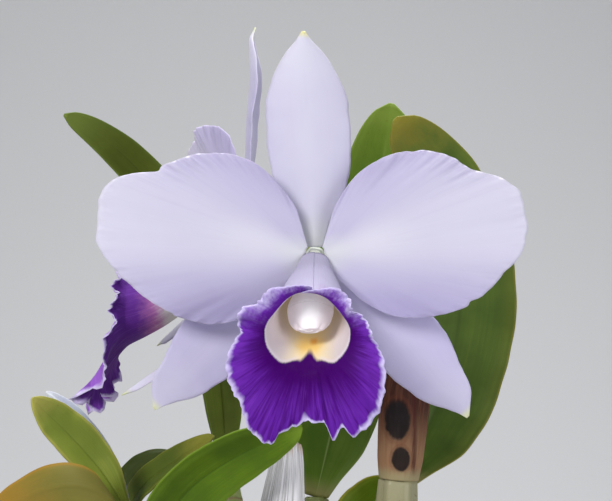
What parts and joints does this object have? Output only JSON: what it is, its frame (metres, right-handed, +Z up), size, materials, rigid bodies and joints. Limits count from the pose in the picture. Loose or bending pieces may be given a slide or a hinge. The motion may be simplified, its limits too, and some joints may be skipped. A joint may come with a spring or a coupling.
{
  "type": "potted cattleya orchid",
  "caption": "Flowering cattleya orchid in a plain clay pot: pale lavender petals, a frilled purple lip, thick leaves on slim pseudobulbs.",
  "frame": {"origin": "centre of the pot's flat base", "axes": "+Z up; -Y the way the main bloom faces; +X to the right seen from the front"},
  "size_m": [0.1479, 0.1518, 0.3094],
  "materials": {
    "terracotta": "matte",
    "fir bark": "matte",
    "rhizome and roots": "matte",
    "pseudobulb skin": "satin",
    "dry white sheath": "matte",
    "reddish sheath": "matte",
    "brown spathe": "matte",
    "leaf": "satin",
    "flower stem": "satin",
    "petal": "matte",
    "sepal": "matte",
    "purple lip": "matte",
    "column": "satin"
  },
  "bodies": {
    "root": {"back_bloom_anther_cap": "column", "back_bloom_column": "column", "back_bloom_lip": "purple lip", "back_bloom_petal_left": "petal", "back_bloom_petal_right": "petal", "back_bloom_sepal_left": "sepal", "back_bloom_sepal_right": "sepal", "back_bloom_sepal_top": "sepal", "flower_stem": "flower stem", "leaf_arching": "leaf", "leaf_behind": "leaf", "leaf_front": "leaf", "leaf_front_left": "leaf", "leaf_low_left": "leaf", "leaf_low_left_back": "leaf", "leaf_low_right": "leaf", "leaf_narrow": "leaf", "leaf_right": "leaf", "leaf_upper_left": "leaf", "main_bloom_anther_cap": "column", "main_bloom_column": "column", "main_bloom_lip": "purple lip", "main_bloom_petal_left": "petal", "main_bloom_petal_right": "petal", "main_bloom_sepal_left": "sepal", "main_bloom_sepal_right": "sepal", "main_bloom_sepal_top": "sepal", "pot": "terracotta", "potting_bark": "fir bark", "pseudobulb_back": "pseudobulb skin", "pseudobulb_back_left": "pseudobulb skin", "pseudobulb_back_right": "pseudobulb skin", "pseudobulb_flowering": "pseudobulb skin", "pseudobulb_front_left": "pseudobulb skin", "pseudobulb_inner": "pseudobulb skin", "pseudobulb_left": "pseudobulb skin", "pseudobulb_middle_back": "pseudobulb skin", "pseudobulb_right": "pseudobulb skin", "rhizome": "rhizome and roots", "sheath_back_right": "reddish sheath", "sheath_front_left": "dry white sheath", "sheath_middle": "reddish sheath", "sheath_white": "dry white sheath", "spathe": "brown spathe"}
  },
  "joints": []
}
